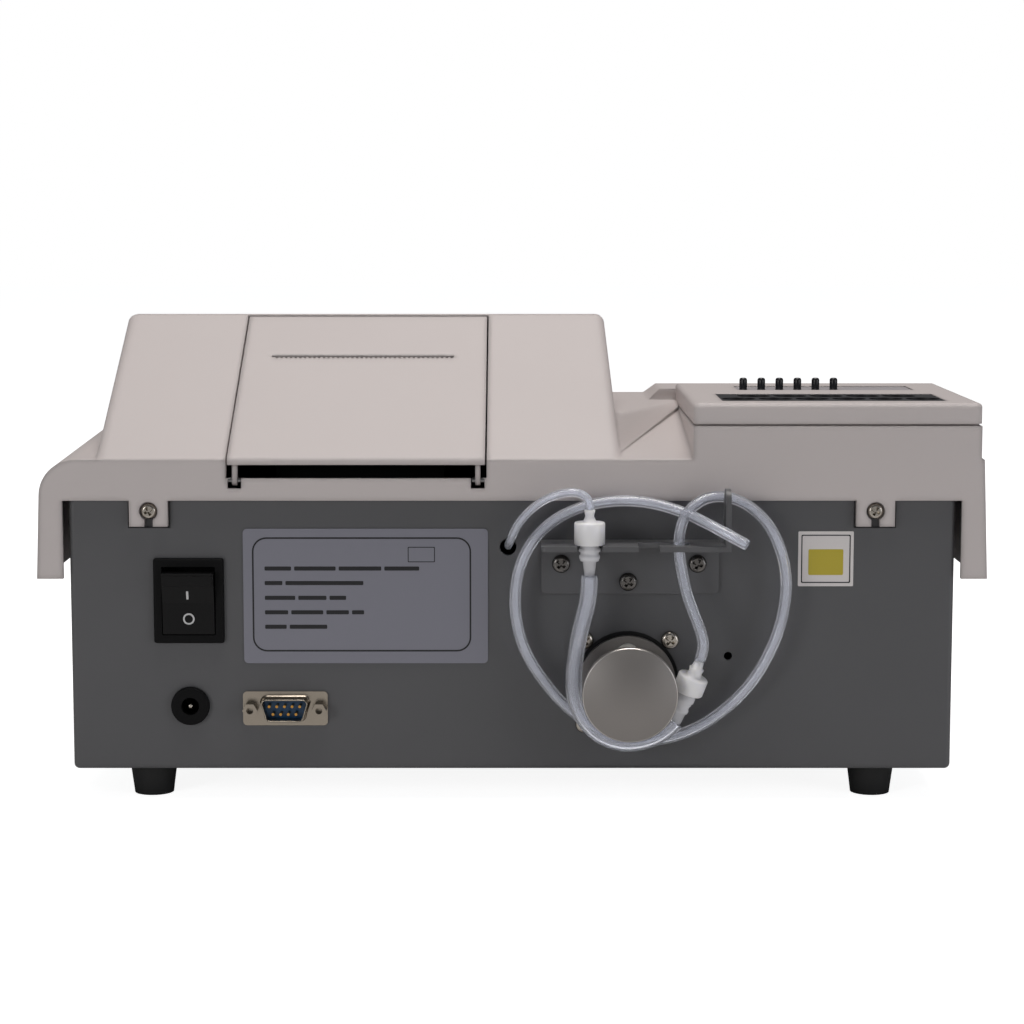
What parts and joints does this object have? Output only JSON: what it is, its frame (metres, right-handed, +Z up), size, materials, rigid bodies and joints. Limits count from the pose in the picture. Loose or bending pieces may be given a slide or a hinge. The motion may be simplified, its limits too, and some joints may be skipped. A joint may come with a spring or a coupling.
{
  "type": "semi-automatic bench chemistry analyzer",
  "caption": "Bench chemistry analyzer with a grey sheet tray, pale moulded shell, printer door, sloped display, incubator wells with timer keys, and a peristaltic pump on the rear panel.",
  "frame": {"origin": "on the bench surface under the middle of the case", "axes": "+Z up, +Y towards the rear panel, +X towards the power switch side"},
  "size_m": [0.3428, 0.3135, 0.174],
  "materials": {
    "shell_plastic": "fine textured ABS",
    "door_plastic": "fine textured ABS",
    "cover_plastic": "fine textured ABS",
    "grey_sheet": "powder coated steel sheet",
    "bracket_sheet": "powder coated steel sheet",
    "foot_rubber": "moulded rubber",
    "bright_screw": "nickel plated steel",
    "dark_screw": "zinc plated steel",
    "black_plastic": "moulded black plastic",
    "gloss_black": "smooth black plastic",
    "block_aluminium": "milled aluminium",
    "cap_aluminium": "bead blasted aluminium",
    "board_green": "solder resist on glass board",
    "label_film": "polyester film",
    "rating_metal": "satin aluminium",
    "white_plastic": "polypropylene",
    "clear_plastic": "translucent polypropylene",
    "silicone": "clear silicone",
    "paper": "thermal paper",
    "nickel": "nickel plated",
    "gold": "gold flashed",
    "blue_insert": "moulded thermoplastic",
    "display_glass": "black bordered touch glass",
    "steel": "stainless steel",
    "roller_nylon": "turned nylon",
    "brass": "brass hexagon"
  },
  "bodies": {
    "case": {"chassis_tray": "grey_sheet", "upper_shell": "shell_plastic", "rubber_feet": "foot_rubber", "foot_screws": "bright_screw", "case_screws": "bright_screw", "motor_screws": "bright_screw", "bracket_screws": "dark_screw", "incubator_lid": "cover_plastic", "well_plate": "black_plastic", "heated_block": "block_aluminium", "block_posts": "steel", "key_board": "board_green", "key_label": "label_film", "hinge_pins": "steel", "paper_bay": "black_plastic", "paper_roll": "paper", "printer_mechanism": "black_plastic", "pump_motor": "gloss_black", "tube_bracket": "bracket_sheet", "rocker_bezel": "gloss_black", "power_jack": "black_plastic", "serial_shell": "nickel", "serial_insert": "blue_insert", "serial_pins": "gold", "jackscrews": "nickel", "rating_plate": "rating_metal", "square_label": "label_film", "display_window": "display_glass", "lcd_module": "steel", "niche_lining": "white_plastic", "sample_tube": "steel", "main_board": "board_green", "board_posts": "brass", "optics_block": "block_aluminium", "lamp_unit": "black_plastic", "flow_cell": "steel", "upper_luer_nut": "white_plastic", "upper_luer_body": "clear_plastic", "lower_luer_nut": "white_plastic", "lower_luer_body": "clear_plastic", "inlet_tube": "silicone", "pump_tube": "silicone", "outlet_tube": "silicone"},
    "door": {"printer_door": "door_plastic"},
    "platen": {"platen_roller": "foot_rubber"},
    "rocker": {"rocker_paddle": "gloss_black"},
    "sample_key": {"aspirate_key": "white_plastic"},
    "rotor": {"pump_shaft": "steel", "pump_rear_disc": "cap_aluminium", "pump_front_cap": "cap_aluminium"},
    "wheel": {"filter_wheel": "cap_aluminium"},
    "key_1": {"timer_key_1": "black_plastic"},
    "key_2": {"timer_key_2": "black_plastic"},
    "key_3": {"timer_key_3": "black_plastic"},
    "key_4": {"timer_key_4": "black_plastic"},
    "key_5": {"timer_key_5": "black_plastic"},
    "key_6": {"timer_key_6": "black_plastic"},
    "roller_1": {"pump_roller_1": "roller_nylon"},
    "roller_2": {"pump_roller_2": "roller_nylon"},
    "roller_3": {"pump_roller_3": "roller_nylon"}
  },
  "joints": [
    {"name": "printer_door_hinge", "type": "hinge", "parent": "case", "child": "door", "pos_m": [0.056, 0.1292, 0.118], "axis": [-1, 0, 0], "range_deg": [0, 90]},
    {"name": "platen_spin", "type": "hinge", "parent": "door", "child": "platen", "pos_m": [0.0568, 0.06816, 0.15233], "axis": [1, 0, 0], "continuous": true},
    {"name": "power_rocker", "type": "hinge", "parent": "case", "child": "rocker", "pos_m": [0.1169, 0.1295, 0.0743], "axis": [1, 0, 0], "range_deg": [0, 18]},
    {"name": "aspirate_key_press", "type": "slide", "parent": "case", "child": "sample_key", "axis": [0, 1, 0], "range_m": [0, 0.003], "stiffness_N_per_m": 200, "springref_m": -0.001},
    {"name": "pump_rotor_spin", "type": "hinge", "parent": "case", "child": "rotor", "pos_m": [-0.0418, 0.13, 0.0443], "axis": [0, 1, 0], "continuous": true},
    {"name": "filter_wheel_spin", "type": "hinge", "parent": "case", "child": "wheel", "pos_m": [-0.075, -0.057, 0.0335], "axis": [0, 1, 0], "continuous": true},
    {"name": "timer_key_1_press", "type": "slide", "parent": "case", "child": "key_1", "axis": [0, 0, -1], "range_m": [0, 0.0015], "stiffness_N_per_m": 300, "springref_m": -0.001},
    {"name": "timer_key_2_press", "type": "slide", "parent": "case", "child": "key_2", "axis": [0, 0, -1], "range_m": [0, 0.0015], "stiffness_N_per_m": 300, "springref_m": -0.001},
    {"name": "timer_key_3_press", "type": "slide", "parent": "case", "child": "key_3", "axis": [0, 0, -1], "range_m": [0, 0.0015], "stiffness_N_per_m": 300, "springref_m": -0.001},
    {"name": "timer_key_4_press", "type": "slide", "parent": "case", "child": "key_4", "axis": [0, 0, -1], "range_m": [0, 0.0015], "stiffness_N_per_m": 300, "springref_m": -0.001},
    {"name": "timer_key_5_press", "type": "slide", "parent": "case", "child": "key_5", "axis": [0, 0, -1], "range_m": [0, 0.0015], "stiffness_N_per_m": 300, "springref_m": -0.001},
    {"name": "timer_key_6_press", "type": "slide", "parent": "case", "child": "key_6", "axis": [0, 0, -1], "range_m": [0, 0.0015], "stiffness_N_per_m": 300, "springref_m": -0.001},
    {"name": "pump_roller_1_spin", "type": "hinge", "parent": "rotor", "child": "roller_1", "pos_m": [-0.0418, 0.14, 0.0549], "axis": [0, 1, 0], "continuous": true},
    {"name": "pump_roller_2_spin", "type": "hinge", "parent": "rotor", "child": "roller_2", "pos_m": [-0.05098, 0.14, 0.039], "axis": [0, 1, 0], "continuous": true},
    {"name": "pump_roller_3_spin", "type": "hinge", "parent": "rotor", "child": "roller_3", "pos_m": [-0.03262, 0.14, 0.039], "axis": [0, 1, 0], "continuous": true}
  ]
}
